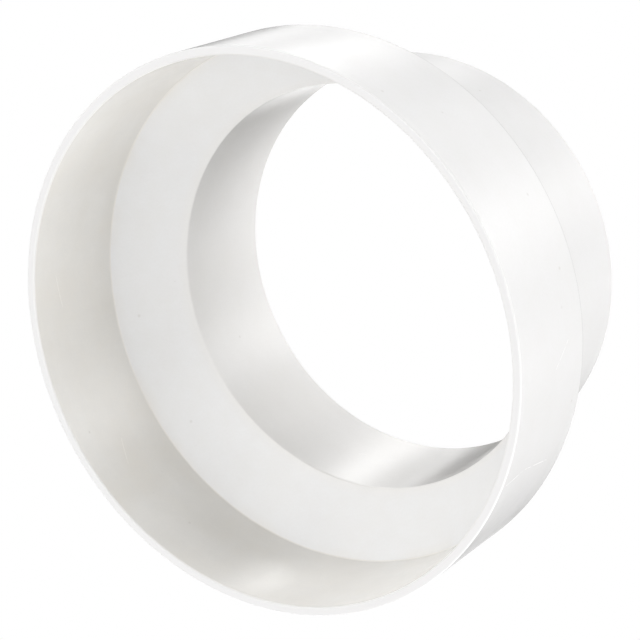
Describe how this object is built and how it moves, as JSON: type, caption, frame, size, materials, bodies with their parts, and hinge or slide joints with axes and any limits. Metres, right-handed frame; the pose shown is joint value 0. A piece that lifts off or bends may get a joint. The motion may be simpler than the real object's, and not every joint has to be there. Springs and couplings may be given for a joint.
{
  "type": "duct reducer",
  "caption": "Round white plastic duct reducer, open right through: a wide straight spigot steps down through a short cone to a narrower straight spigot.",
  "frame": {"origin": "centre of the narrow rim's end face, which the part stands on", "axes": "+Z along the duct axis, from the narrow end to the wide end; X and Y are across the duct"},
  "size_m": [0.1244, 0.1244, 0.07],
  "materials": {
    "white_plastic": "semi-gloss injection-moulded white plastic"
  },
  "bodies": {
    "root": {"reducer_body": "white_plastic"}
  },
  "joints": []
}
